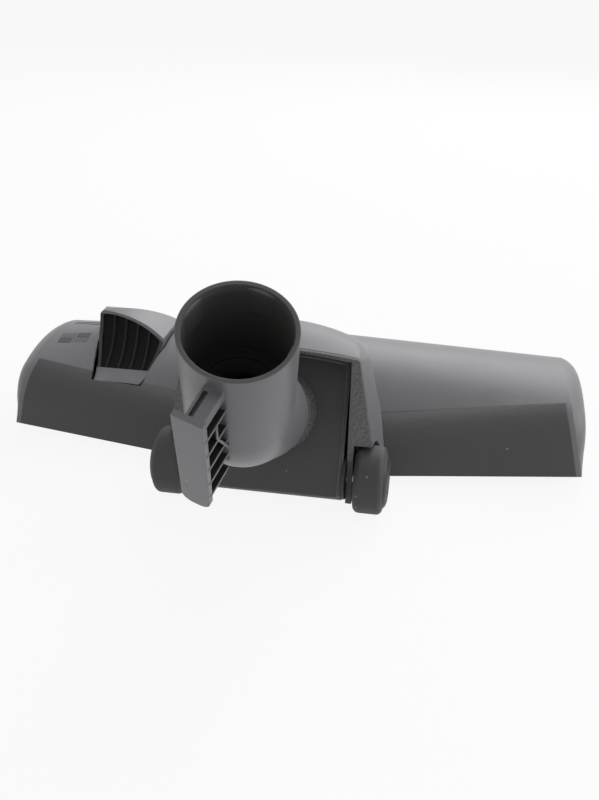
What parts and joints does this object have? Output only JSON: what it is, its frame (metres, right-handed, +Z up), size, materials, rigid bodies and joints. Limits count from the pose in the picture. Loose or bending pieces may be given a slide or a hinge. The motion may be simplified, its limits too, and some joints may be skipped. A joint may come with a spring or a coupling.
{
  "type": "vacuum floor brush head",
  "caption": "Long vacuum cleaner floor head with a swivelling elbow tube, tilting cradle, rear wheels, parking hook and a foot pedal that lowers bristle strips beside the suction mouth.",
  "frame": {"origin": "centre of the suction mouth on the floor plane, under the sole", "axes": "+X along the head, +Y to the front away from the tube, +Z up"},
  "size_m": [0.27, 0.2261, 0.1214],
  "materials": {
    "cover_plastic": "satin grey moulding",
    "body_plastic": "fine grained dark moulding",
    "tube_plastic": "satin grey moulding",
    "collar_plastic": "satin, finely knurled",
    "pad_plastic": "black satin",
    "inner_plastic": "plain moulding",
    "hub_plastic": "satin",
    "tyre_rubber": "matt",
    "seal_rubber": "matt",
    "sole_steel": "brushed",
    "fastener_steel": "bright",
    "lifter_fabric": "short directional pile",
    "bristle_fibre": "stiff bristles"
  },
  "bodies": {
    "base": {"upper_cover": "cover_plastic", "lower_body": "body_plastic", "sole_plate": "sole_steel", "housing_screws": "fastener_steel", "front_thread_lifter": "lifter_fabric", "rear_thread_lifter": "lifter_fabric", "axle_left": "fastener_steel", "axle_right": "fastener_steel", "pedal_pin": "fastener_steel"},
    "cradle": {"cradle": "body_plastic", "swivel_collar": "collar_plastic"},
    "elbow": {"elbow_tube": "tube_plastic", "swivel_seal": "seal_rubber", "retaining_clip": "inner_plastic"},
    "wheel_left": {"wheel_hub_left": "hub_plastic", "tyre_left": "tyre_rubber"},
    "wheel_right": {"wheel_hub_right": "hub_plastic", "tyre_right": "tyre_rubber"},
    "pedal": {"pedal_cap": "cover_plastic", "pedal_pad": "pad_plastic"},
    "brush": {"brush_carrier": "inner_plastic", "front_brush": "bristle_fibre", "rear_brush": "bristle_fibre"}
  },
  "joints": [
    {"name": "tilt", "type": "hinge", "parent": "base", "child": "cradle", "pos_m": [0, -0.0774, 0.0145], "axis": [1, 0, 0], "range_deg": [-3, 26]},
    {"name": "swivel", "type": "hinge", "parent": "cradle", "child": "elbow", "pos_m": [0, -0.07072, 0.04012], "axis": [0, -0.9026, 0.4305], "range_deg": [-60, 85]},
    {"name": "left_wheel_turn", "type": "hinge", "parent": "base", "child": "wheel_left", "pos_m": [-0.0428, -0.0774, 0.0145], "axis": [1, 0, 0], "continuous": true},
    {"name": "right_wheel_turn", "type": "hinge", "parent": "base", "child": "wheel_right", "pos_m": [0.0428, -0.0774, 0.0145], "axis": [1, 0, 0], "continuous": true},
    {"name": "pedal_rock", "type": "hinge", "parent": "base", "child": "pedal", "pos_m": [-0.083, -0.008, 0.027], "axis": [1, 0, 0], "range_deg": [-20, 0]},
    {"name": "brush_drop", "type": "slide", "parent": "base", "child": "brush", "axis": [0, 0, -1], "range_m": [0, 0.00639]}
  ],
  "couplings": [
    {"joint": "pedal_rock", "follows": "brush_drop", "rad_per_m": -54.62}
  ]
}
